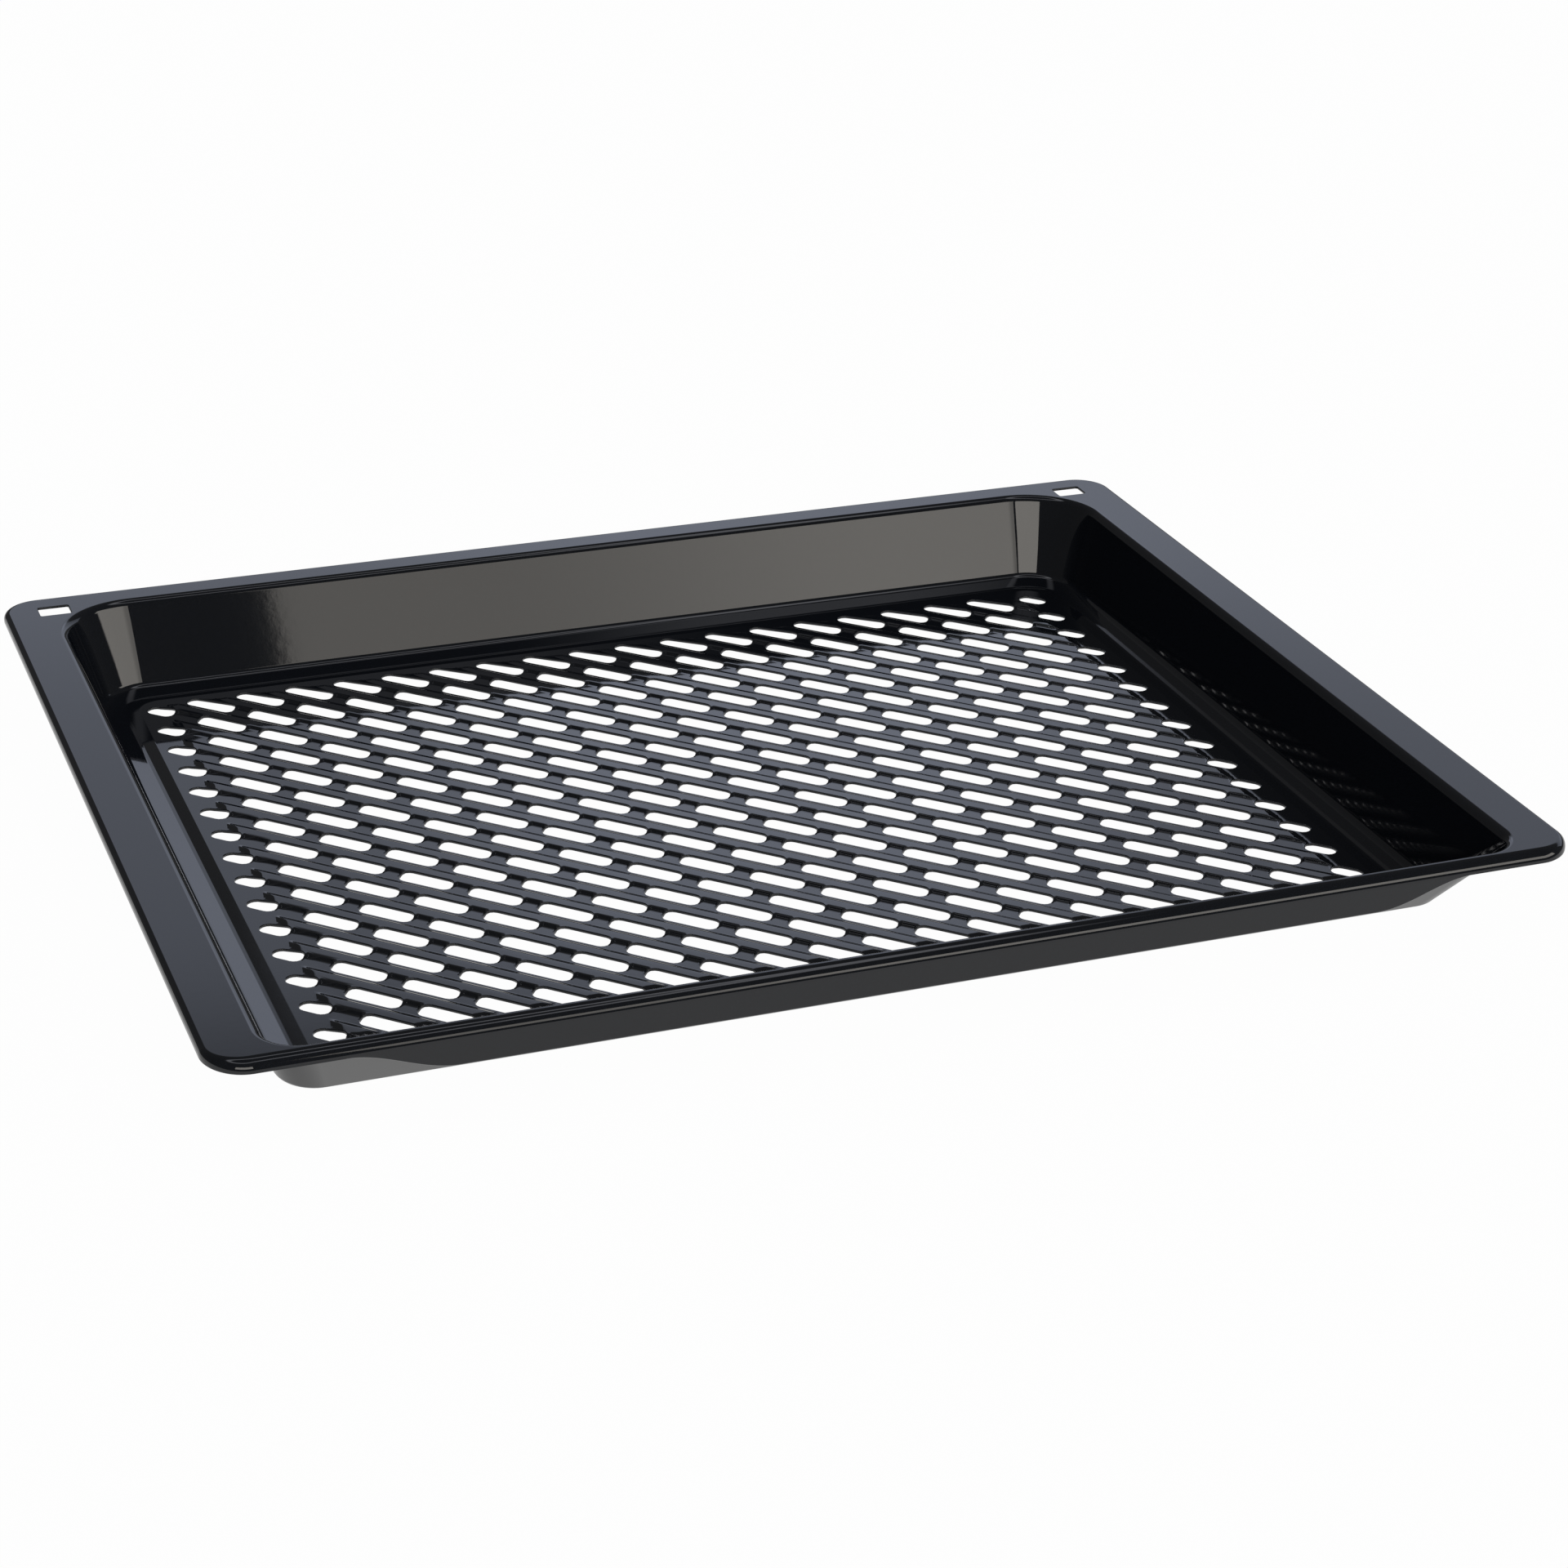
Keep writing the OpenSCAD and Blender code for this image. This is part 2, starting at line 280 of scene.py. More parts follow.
@dataclass
class SheetMetal:
    """The sheet itself and the rounding that enamel leaves on a punched edge, in millimetres."""

    thick: float = 1.0
    top_round: float = 0.32
    under_round: float = 0.25
    round_parts: int = 3

    def punch(self, work: Patchwork, centres: Array, outline: Outline, turn: float,
              top: Surface) -> Array:
        """The walls of punched holes, with softly rounded upper and lower edges.

        The wall is a profile carried round the outline: a quarter arc down from the upper face, a
        straight wall, and a quarter of an ellipse out to the lower face.

        Args:
            work: Takes the walls.
            centres: Middle of each hole, in plan.
            outline: Gives points and outward directions of the hole, grown by a distance.
            turn: Degrees by which each hole is turned.
            top: Gives height and thickness below it for plan points.

        Returns:
            The hole's outline on the upper face: holes by points by two.
        """
        c, s = np.cos(np.radians(turn)), np.sin(np.radians(turn))
        spin = np.array([[c, s], [-s, c]])
        grown, out = outline(self.top_round)
        shape = (len(centres), len(out), 3)
        lip = (centres[:, None, :] + (grown @ spin)[None]).reshape(-1, 2)
        high, deep = top(lip)
        facing = out @ spin
        quarter = np.radians(np.linspace(0, 90, self.round_parts + 1))
        points, normals = [], []
        for way, angles in ((1.0, quarter), (-1.0, quarter[::-1])):
            for a in angles:
                pts, _ = outline(self.top_round * (1 - np.sin(a)))
                plan = (centres[:, None, :] + (pts @ spin)[None]).reshape(-1, 2)
                z = (high - self.top_round * (1 - np.cos(a)) if way > 0
                     else high - deep + self.under_round * (1 - np.cos(a)))
                points.append(np.column_stack([plan, z]).reshape(shape))
                normals.append(np.broadcast_to(np.column_stack(
                    [-facing * np.sin(a), np.full(len(out), way * np.cos(a))]), shape))
        work.add_grid(np.stack(points), np.stack(normals))
        return lip.reshape(*shape[:2], 2)


@dataclass
class Tray:
    """The pressed tray: its sizes in millimetres, and the methods that work out its surface."""

    width: float = 455.0
    depth: float = 375.0
    height: float = 32.0
    sheet: SheetMetal = field(default_factory=SheetMetal)
    # The rim's width to the mouth of the well, and its turned-down edge.
    rim_side: float = 16.6
    rim_back: float = 10.7
    rim_front: float = 4.3
    corner_r: float = 13.5
    edge_r: float = 2.2
    lip_h: float = 3.6
    front_edge_r: float = 4.0
    front_lip_h: float = 4.2
    apron_h: float = 12.3
    apron_inset: float = 40.0
    apron_swing: float = 35.0
    # The rear holes, with their middles' distances from the rim's edges.
    hole_w: float = 11.4
    hole_d: float = 8.4
    hole_from_side: float = 18.6
    hole_from_back: float = 14.2
    hole_corner_r: float = 0.8
    # The walls' lean from upright, the bends above and below them and the well's corners in plan,
    # at the mouth, the foot, the land and the field.
    side_draft: float = 18.5
    back_draft: float = 25.0
    front_draft: float = 41.5
    mouth_r: float = 3.4
    front_mouth_r: float = 2.0
    foot_r: float = 3.0
    back_radii: tuple[float, ...] = (30.0, 19.0, 13.0, 9.0)
    front_radii: tuple[float, ...] = (14.5, 12.0, 8.0, 6.0)
    # The sloping border, the land on which the tray stands and the step up to the field.
    border_w: float = 7.5
    border_rise: float = 10.0
    land_w: float = 1.2
    step_w: float = 4.5
    step_h: float = 0.4
    crease_r: float = 4.0
    # The slots: their spacing along x and y, and the angles at which their corners have points.
    pitch: float = 18.7
    slot_l: float = 19.9
    slot_short_l: float = 10.9
    slot_w: float = 6.2
    slot_corner_r: float = 2.95
    slot_angles: tuple[float, ...] = (0.0, 23.0, 46.0, 68.0, 90.0)
    cols: int = 20
    rows: int = 15
    back_gap: float = 10.8
    # The ribs: how far to the front left of a line of slots each slope begins and ends, how much
    # later the short one does so beside a slot, and how near that is. Then the ribs' ends: their
    # slopes' length, and where they meet the field, from the middles of the outer slots.
    rib_h: float = 0.8
    rib_back: tuple[float, float] = (3.8, 6.8)
    rib_front: tuple[float, float] = (10.75, 11.5)
    rib_late: tuple[float, float] = (1.0, 3.4)
    rib_wrap: float = 1.3
    rib_end_l: float = 3.0
    rib_side_inset: float = 1.8
    rib_row_reach: float = 5.6
    # The least upright part of the normal by which the sheet's thickness is divided.
    least_upright: float = 0.75
    # How finely each form is divided, and where the field's mesh has points.
    corner_steps: int = 16
    bend_parts: tuple[int, ...] = (14, 12, 4, 3, 3)
    edge_parts: int = 12
    tip_parts: int = 6
    swing_parts: int = 24
    hole_parts: int = 5
    line_parts: tuple[int, int] = (4, 3)
    end_parts: tuple[int, int] = (6, 4)
    wrap_rings: tuple[float, ...] = (0.35, 0.75, 1.2)
    wrap_turn: float = 72.0
    wrap_parts: int = 6
    rib_end_span: tuple[float, float] = (-0.15, 1.1)
    rib_end_parts: int = 8
    mesh_gap: float = 0.3
    least_line: float = 1.0
    spill: float = 0.4

    def __post_init__(self) -> None:
        """Works out the levels and the places that follow from the sizes."""
        self.land_z = self.sheet.thick
        self.field_z = self.land_z + self.step_h
        self.mouth_x = self.width / 2 - self.rim_side
        self.mouth_back = self.depth / 2 - self.rim_back
        self.mouth_front = self.depth / 2 - self.rim_front
        self.foot_drop = (self.height - self.land_z
                          - self.border_w * np.tan(np.radians(self.border_rise)))
        self.field_x = self.mouth_x - self.field_in(self.side_draft, self.mouth_r)
        self.field_back = self.mouth_back - self.field_in(self.back_draft, self.mouth_r)
        self.col_x = -(self.cols - 1) * self.pitch / 2
        self.row_y = self.field_back - self.back_gap
        self.line_gap = self.pitch / np.sqrt(2)

    def foot_in(self, draft: float, r: float) -> float:
        """How far in from the mouth a wall's foot lies, for its lean and mouth radius."""
        return (r * np.tan(np.radians(90 - draft) / 2)
                + self.foot_drop * np.tan(np.radians(draft)))

    def field_in(self, draft: float, r: float) -> float:
        """How far in from the mouth the edge of the slotted field lies."""
        return self.foot_in(draft, r) + self.border_w + self.land_w + self.step_w

    def section(self, draft: float, r: float) -> Array:
        """Section of the sheet's upper face from the rim to the slotted field.

        Args:
            draft: Lean of the wall from upright, in degrees.
            r: Radius of the bend at the mouth.

        Returns:
            Rows of distance in, height below the rim, slope and corner, as bend gives them: the
            mouth, the foot, both creases of the land and the edge of the field.
        """
        steep = 90 - draft
        foot = self.foot_in(draft, r)
        land = foot + self.border_w
        rise = np.degrees(np.arctan2(self.step_h, self.step_w))
        low = self.land_z - self.height
        inner = land + self.land_w
        bends = (
            ((r * np.tan(np.radians(steep) / 2), 0.0), 0, steep, r, 0),
            ((foot, -self.foot_drop), steep, self.border_rise, self.foot_r, 1),
            ((land, low), self.border_rise, 0, self.crease_r, 2),
            ((inner, low), 0, -rise, self.crease_r, 2),
            ((inner + self.step_w, self.field_z - self.height), -rise, 0, self.crease_r, 3))
        return np.concatenate([bend(at, start, end, radius, parts, corner)
                               for (at, start, end, radius, corner), parts
                               in zip(bends, self.bend_parts)])

    def stations(self) -> tuple[Array, Array, Array, Array]:
        """The places round the well's and the rim's four corners.

        Returns:
            For each place: the angle of its direction outwards, 1 at the right and -1 at the left,
            1 at the back and -1 in front, and whether it is at the back.
        """
        q = np.repeat(np.arange(4), self.corner_steps + 1)
        part = np.tile(np.arange(self.corner_steps + 1) / self.corner_steps, 4)
        return (np.radians(90 * (q + part)), np.where((q == 0) | (q == 3), 1.0, -1.0),
                np.where(q < 2, 1.0, -1.0), q < 2)

    def well_rings(self, skin: Skin) -> tuple[Array, Array]:
        """Rings round the well, from the mouth to the edge of the field.

        At a corner's angle a, a ring is the corner's centre plus its radius times (cos a, sin a).
        Its height changes from the side's section to the end's as cos^2 a and sin^2 a, and its
        radius shrinks by the mean of what both sections have gone in since the corner's own line.

        Args:
            skin: The face of the sheet.

        Returns:
            Points and normals, rings by places by three. The normal is the cross product of the
            ways along the ring and down the section.
        """
        a, sx, sy, back = self.stations()
        depth = self.sheet.thick * skin.value
        side = self.section(self.side_draft, self.mouth_r)[:, None, :]
        rear = self.section(self.back_draft, self.mouth_r)[:, None, :]
        fore = self.section(self.front_draft, self.front_mouth_r)[:, None, :]
        end = np.where(back[None, :, None], rear, fore)
        corner = side[:, 0, 3].astype(int)

        def ins(draft: float, r: float) -> Array:
            """Distances in of the four plan corners, one for each row of the section."""
            foot = self.foot_in(draft, r)
            land = foot + self.border_w
            return np.array([0.0, foot, land, self.field_in(draft, r)])[corner][:, None]

        in_end = np.where(back, ins(self.back_draft, self.mouth_r),
                          ins(self.front_draft, self.front_mouth_r))
        radii = np.where(back, np.array(self.back_radii)[corner][:, None],
                         np.array(self.front_radii)[corner][:, None])
        s1, s2 = np.radians(side[..., 2]), np.radians(end[..., 2])
        side_in, side_z = side[..., 0] - depth * np.sin(s1), side[..., 1] - depth * np.cos(s1)
        end_in, end_z = end[..., 0] - depth * np.sin(s2), end[..., 1] - depth * np.cos(s2)
        r = radii - (side_in - ins(self.side_draft, self.mouth_r) + end_in - in_end) / 2
        c, s = np.cos(a), np.sin(a)
        half_w = self.mouth_x - side_in
        half_d = np.where(back, self.mouth_back, self.mouth_front) - end_in
        points = np.stack([sx * (half_w - r) + r * c, sy * (half_d - r) + r * s,
                           self.height + side_z * c ** 2 + end_z * s ** 2], axis=-1)
        r_way = -(np.cos(s1) + np.cos(s2)) / 2
        down = np.stack([sx * (-np.cos(s1) - r_way) + r_way * c,
                         sy * (-np.cos(s2) - r_way) + r_way * s,
                         -np.sin(s1) * c ** 2 - np.sin(s2) * s ** 2], axis=-1)
        along = np.stack([-r * s, r * c, 2 * (end_z - side_z) * s * c], axis=-1)
        return points, skin.sign * unit(np.cross(along, down))

    def edge_rings(self) -> tuple[Array, Array]:
        """Rings over the turned-down edge, from the rim's top to its underside.

        The section is a quarter arc, the lip, a half circle at the lip's lower end and the way
        back inside. In the front corners the arc and the drop change over to the front's as
        sin^2 a, and along the front the drop follows the apron: half a cosine wave from the lip to
        its full depth.

        Returns:
            Points and normals, rings by places by three.
        """
        a, sx, sy, back = self.stations()
        n = self.corner_steps + 1
        end_x = self.width / 2 - self.apron_inset
        swing = end_x - self.apron_swing * np.linspace(0, 1, self.swing_parts + 1)
        xs = np.concatenate([-swing, swing[::-1]])

        def with_front(corners: Array, along_front: Array | float) -> Array:
            """Values round the corners, with the front's own put in before the last corner."""
            return np.insert(corners, 3 * n, along_front + np.zeros_like(xs))

        ang = with_front(a, 1.5 * np.pi)
        cx = with_front(sx * (self.width / 2 - self.corner_r), xs)
        cy = with_front(sy * (self.depth / 2 - self.corner_r), self.corner_r - self.depth / 2)
        front = with_front(np.where(back, 0, np.sin(a) ** 2), 1.0)
        way = np.stack([np.cos(ang), np.sin(ang)], axis=-1)
        r = self.edge_r + (self.front_edge_r - self.edge_r) * front
        drop = self.lip_h + (self.front_lip_h - self.lip_h) * front
        s = np.clip((np.abs(cx) - end_x + self.apron_swing) / self.apron_swing, 0, 1)
        deeper = (self.apron_h - self.front_lip_h) * (1 + np.cos(np.pi * s)) / 2
        drop = np.where((front == 1) & (np.abs(cx) <= end_x), self.front_lip_h + deeper, drop)
        t = self.sheet.thick
        arc = np.radians(np.linspace(0, 90, self.edge_parts + 1))[:, None]
        tip = np.radians(np.linspace(0, 180, self.tip_parts + 1))[:, None]
        inset = np.concatenate([
            r * (1 - np.sin(arc)), t / 2 - t / 2 * np.cos(tip) + 0 * r,
            (r - (r - t) * np.sin(arc))[::-1]])
        z = np.concatenate([
            -r * (1 - np.cos(arc)), -(drop - t / 2) - t / 2 * np.sin(tip),
            (-r + (r - t) * np.cos(arc))[::-1]])
        out = np.concatenate([np.sin(arc), np.cos(tip), -np.sin(arc)[::-1]]) + 0 * r
        up = np.concatenate([np.cos(arc), -np.sin(tip), -np.cos(arc)[::-1]]) + 0 * r
        plan = np.stack([cx, cy], axis=-1) + (self.corner_r - inset)[..., None] * way
        points = np.concatenate([plan, (self.height + z)[..., None]], axis=-1)
        normals = np.concatenate([out[..., None] * way, up[..., None]], axis=-1)
        return points, normals

    def relief(self, plan: Array) -> Array:
        """Height of the slotted field's upper face.

        Going from the middle of a line of slots towards the front left, at right angles to it, the
        height rises to a rib's flat top as a long soft step and falls again as a short one before
        the next line. Near a slot the short step comes later, so that the rib's top goes round the
        slot's end. It is all multiplied by soft steps towards the rectangle on which ribs end.

        Args:
            plan: Points by two.

        Returns:
            Heights above what the tray stands on.
        """
        s = (plan.sum(axis=-1) - self.col_x - self.row_y) / self.pitch
        rib = np.floor(s) + 0.5
        there = (rib >= 1.5 - self.rows) & (rib <= self.cols - 1.5)
        q = (rib + 0.5 - s) * self.line_gap
        near = soft_step(1 - self.slot_gap(plan) / self.rib_wrap)
        b0, b1 = self.rib_back
        f0, f1 = (at + late * near for at, late in zip(self.rib_front, self.rib_late))
        own = soft_step((q - b0) / (b1 - b0)) - soft_step((q - f0) / (f1 - f0))
        behind = np.where(q < f1 - self.line_gap,
                          1 - soft_step((q + self.line_gap - f0) / (f1 - f0)), 0)
        x, y = np.abs(plan[..., 0]), plan[..., 1]
        side, rear, fore = self.rib_reach()
        ends = (soft_step((side - x) / self.rib_end_l) * soft_step((rear - y) / self.rib_end_l)
                * soft_step((fore + y) / self.rib_end_l))
        return self.field_z + self.rib_h * (own + behind) * ends * there

    def rib_reach(self) -> tuple[float, float, float]:
        """Distances from the middle at which the ribs' slopes meet the field: side, back, front."""
        last = (self.rows - 1) * self.pitch - self.row_y
        return (-self.col_x - self.rib_side_inset, self.row_y + self.rib_row_reach,
                last + self.rib_row_reach)

    def lie(self, plan: Array) -> Array:
        """Which way the field's upper face looks, from the relief's differences over 0.1 mm.

        Args:
            plan: Points by two.

        Returns:
            Unit normals: (-dz/dx, -dz/dy, 1) divided by its length.
        """
        h = 0.05
        dx = (self.relief(plan + [h, 0]) - self.relief(plan - [h, 0])) / (2 * h)
        dy = (self.relief(plan + [0, h]) - self.relief(plan - [0, h])) / (2 * h)
        return unit(np.stack([-dx, -dy, np.ones_like(dx)], axis=-1))

    def field_top(self, plan: Array) -> tuple[Array, Array]:
        """Height of the field, and the upright thickness that keeps the sheet even on a slope.

        On the steepest slopes the thickness stops growing, so that the underside stays above the
        plane on which the tray stands.

        Args:
            plan: Points by two.

        Returns:
            Heights, and the sheet's thickness divided by the normal's upright part.
        """
        upright = np.maximum(self.lie(plan)[..., 2], self.least_upright)
        return self.relief(plan), self.sheet.thick / upright

    def slot_outline(self, length: float) -> Outline:
        """Gives a function of growth for the outline of a slot of the given length."""
        return lambda grow: rounded_outline(length / 2, self.slot_w / 2, self.slot_corner_r, grow,
                                            np.array(self.slot_angles))

    def slot_places(self) -> tuple[Array, Array]:
        """The grid of slots, from the back left.

        Returns:
            The middle of each slot, columns by rows by two, and whether the slot is a short one,
            as those of the first and last columns are.
        """
        i, j = np.meshgrid(np.arange(self.cols), np.arange(self.rows), indexing="ij")
        centres = np.stack([self.col_x + i * self.pitch, self.row_y - j * self.pitch], axis=-1)
        return centres, (i == 0) | (i == self.cols - 1)

    def slot_gap(self, plan: Array) -> Array:
        """How far plan points are outside the nearest slot.

        It is the least distance to the middle rectangles of the slots at and beside the nearest
        place of their grid, less their corner radius.

        Args:
            plan: Points by two.

        Returns:
            Distances from the slot's outline, negative inside it.
        """
        first, way = np.array([self.col_x, self.row_y]), np.array([self.pitch, -self.pitch])
        last = np.array([self.cols - 1, self.rows - 1])
        nearest = np.clip(np.round((plan - first) / way), 0, last)
        least = np.full(plan.shape[:-1], np.inf)
        for step in ((0, 0), (1, 0), (0, 1), (-1, 0), (0, -1)):
            ij = nearest + step
            off = plan - (first + ij * way)
            along = np.abs(off[..., 0] - off[..., 1]) / np.sqrt(2)
            across = np.abs(off[..., 0] + off[..., 1]) / np.sqrt(2)
            short = (ij[..., 0] == 0) | (ij[..., 0] == last[0])
            run = np.where(short, self.slot_short_l, self.slot_l) / 2 - self.slot_corner_r
            flat = self.slot_w / 2 - self.slot_corner_r
            far = np.hypot(np.maximum(along - run, 0), np.maximum(across - flat, 0))
            real = ((ij >= 0) & (ij <= last)).all(axis=-1)
            least = np.where(real, np.minimum(least, far), least)
        return least - self.slot_corner_r

    def line_sums(self) -> Array:
        """The sum of x and y on the middle of each line of slots that has a rib in front of it."""
        return self.col_x + self.row_y + np.arange(2 - self.rows, self.cols) * self.pitch

    def lines_on_ribs(self) -> Array:
        """Lines for the field's mesh along the long slopes and flat tops of the ribs.

        On each, x + y is the slots' own sum less sqrt(2) times its distance from them. It is cut
        to the rectangle on which the ribs are whole.

        Returns:
            Pairs of plan points.
        """
        side, rear, fore = self.rib_reach()
        inset = self.rib_end_l + self.mesh_gap
        (b0, b1), f0 = self.rib_back, self.rib_front[0]
        levels = np.append(np.linspace(b0, b1, self.line_parts[0] + 1), (b1 + f0) / 2)
        total = (self.line_sums()[:, None] - levels[None] * np.sqrt(2)).ravel()
        x0 = np.maximum(inset - side, total - (rear - inset))
        x1 = np.minimum(side - inset, total - (inset - fore))
        x = np.stack([x0, x1], axis=-1)
        pairs = np.stack([x, total[:, None] - x], axis=-1)
        return pairs[x1 > x0 + self.least_line]

    def lines_on_bridges(self) -> Array:
        """Lines for the field's mesh along the short slopes, between the ends of two slots.

        Each is as long as the gap between the two slots less the ends' rings, which at a distance
        d from the middle of their arcs reach sqrt(radius^2 - d^2) along.

        Returns:
            Pairs of plan points.
        """
        centres, _ = self.slot_places()
        middle = (centres[:-1, :-1] + centres[1:, 1:]).reshape(-1, 1, 2) / 2
        q = np.append(np.linspace(*self.rib_front, self.line_parts[1] + 1) - self.line_gap, 0.0)
        cap = self.slot_corner_r + self.sheet.top_round + self.rib_wrap - self.mesh_gap
        inset = np.maximum(np.abs(q) - (self.slot_w / 2 - self.slot_corner_r), 0)
        reach = (self.line_gap - self.slot_l / 2 + self.slot_corner_r
                 - np.sqrt(np.maximum(cap ** 2 - inset ** 2, 0)) - self.mesh_gap)
        spots = middle - q[None, :, None] * ACROSS
        half = reach[None, :, None] * ALONG
        return np.stack([spots - half, spots + half], axis=-2).reshape(-1, 2, 2)

    def points_round_slots(self) -> Array:
        """Points for the field's mesh on rings round the slots' ends, where the ribs' tops go.

        Returns:
            Plan points: a place on the slot's middle line, the corners' radius from its end, plus
            the ring's radius times (cos, sin) of angles up to wrap_turn on either side.
        """
        side, rear, fore = self.rib_reach()
        centres, short = self.slot_places()
        ring, turned = np.meshgrid(
            self.slot_corner_r + self.sheet.top_round + np.array(self.wrap_rings),
            np.radians(np.linspace(-self.wrap_turn, self.wrap_turn, self.wrap_parts + 1)),
            indexing="ij")
        run = np.where(short, self.slot_short_l, self.slot_l).reshape(-1, 1, 1) / 2
        u = run - self.slot_corner_r + (ring * np.cos(turned)).reshape(1, -1, 1)
        v = (ring * np.sin(turned)).reshape(1, -1, 1)
        spot = centres.reshape(-1, 1, 2)
        points = np.concatenate([spot + end * u * ALONG + v * ACROSS for end in (-1, 1)])
        x, y = np.abs(points[..., 0]), points[..., 1]
        return points[(x < side) & (y < rear) & (y > -fore)]

    def points_on_rib_ends(self) -> Array:
        """Points for the field's mesh on the slopes at the ribs' ends.

        They are where lines along the ribs cross lines along the slopes.

        Returns:
            Plan points.
        """
        side, rear, fore = self.rib_reach()
        lows, highs = np.array([-side, -fore]), np.array([side, rear])
        (b0, b1), (f0, f1) = self.rib_back, self.rib_front
        long_parts, short_parts = self.end_parts
        levels = np.concatenate([np.linspace(b0, b1, long_parts + 1), [(b1 + f0) / 2],
                                 np.linspace(f0, f1, short_parts + 1)])
        total = self.line_sums()[:, None, None] - levels[None, :, None] * np.sqrt(2)
        steps = np.linspace(*self.rib_end_span, self.rib_end_parts + 1) * self.rib_end_l
        ends = []
        for axis, level in ((0, side), (0, -side), (1, rear), (1, -fore)):
            here = np.broadcast_to(level - np.sign(level) * steps, (*total.shape[:2], len(steps)))
            other = total - here
            points = np.stack([here, other] if axis == 0 else [other, here], axis=-1)
            low, high = lows[1 - axis] - self.spill, highs[1 - axis] + self.spill
            ends.append(points[(other > low) & (other < high)])
        return np.concatenate(ends)

    def build(self) -> bpy.types.Object:
        """Makes the whole sheet as one mesh: edge, rim, well and slotted, ribbed floor.

        Returns:
            The sheet's object, without its finish.
        """
        work = Patchwork()
        edge, edge_n = self.edge_rings()
        work.add_grid(edge, edge_n)
        hole = np.array([[sx * (self.width / 2 - self.hole_from_side),
                          self.depth / 2 - self.hole_from_back] for sx in (-1, 1)])
        quarter = np.linspace(0, 90, self.hole_parts + 1)
        corner_cut = self.sheet.punch(
            work, hole, lambda grow: rounded_outline(self.hole_w / 2, self.hole_d / 2,
                                                     self.hole_corner_r, grow, quarter), 0.0,
            lambda plan: (np.full(len(plan), self.height), np.full(len(plan), self.sheet.thick)))
        mouth = {skin: self.well_rings(skin) for skin in Skin}
        for skin in Skin:
            points, normals = mouth[skin]
            work.add_grid(points, normals)
        flat, tris = fill([edge[0, :, :2], mouth[Skin.TOP][0][0, :, :2], *corner_cut])
        for skin in Skin:
            z = self.height - self.sheet.thick * skin.value
            work.add(np.column_stack([flat, np.full(len(flat), z)]),
                     np.tile([0.0, 0.0, skin.sign], (len(flat), 1)), tris)
        self.build_field(work, mouth[Skin.TOP][0][-1, :, :2])
        return work.build("enamelled_sheet")

    def build_field(self, work: Patchwork, border: Array) -> None:
        """The slotted field: slot walls, upper face and underside.

        Args:
            work: Takes the patches.
            border: Outline of the field in plan.
        """
        centres, short = self.slot_places()
        turn = np.degrees(np.arctan2(ALONG[1], ALONG[0]))
        long_slots = self.sheet.punch(work, centres[~short], self.slot_outline(self.slot_l), turn,
                                      self.field_top)
        short_slots = self.sheet.punch(work, centres[short], self.slot_outline(self.slot_short_l),
                                       turn, self.field_top)
        lines = np.concatenate([self.lines_on_ribs(), self.lines_on_bridges()])
        loose = np.concatenate([self.points_on_rib_ends(), self.points_round_slots()])
        loose = loose[self.slot_gap(loose) > self.sheet.top_round + self.mesh_gap]
        plan, tris = fill([border, *long_slots, *short_slots], lines, loose)
        high, deep = self.field_top(plan)
        lie = self.lie(plan)
        for skin in Skin:
            z = high - deep * skin.value
            work.add(np.column_stack([plan, z]), lie * skin.sign, tris)


def add_node(tree: bpy.types.NodeTree, kind: str, settings: dict | None = None,
             inputs: dict | None = None) -> bpy.types.Node:
    """Adds a node with its settings, values and links.

    Args:
        tree: The tree that takes the node.
        kind: Blender's name of the node's type.
        settings: Properties of the node.
        inputs: Values by socket name or number; a socket given as the value is linked.

    Returns:
        The new node.
    """
    node = tree.nodes.new(kind)
    for name, value in (settings or {}).items():
        setattr(node, name, value)
    for key, value in (inputs or {}).items():
        if isinstance(value, bpy.types.NodeSocket):
            tree.links.new(value, node.inputs[key])
        else:
            node.inputs[key].default_value = value
    return node


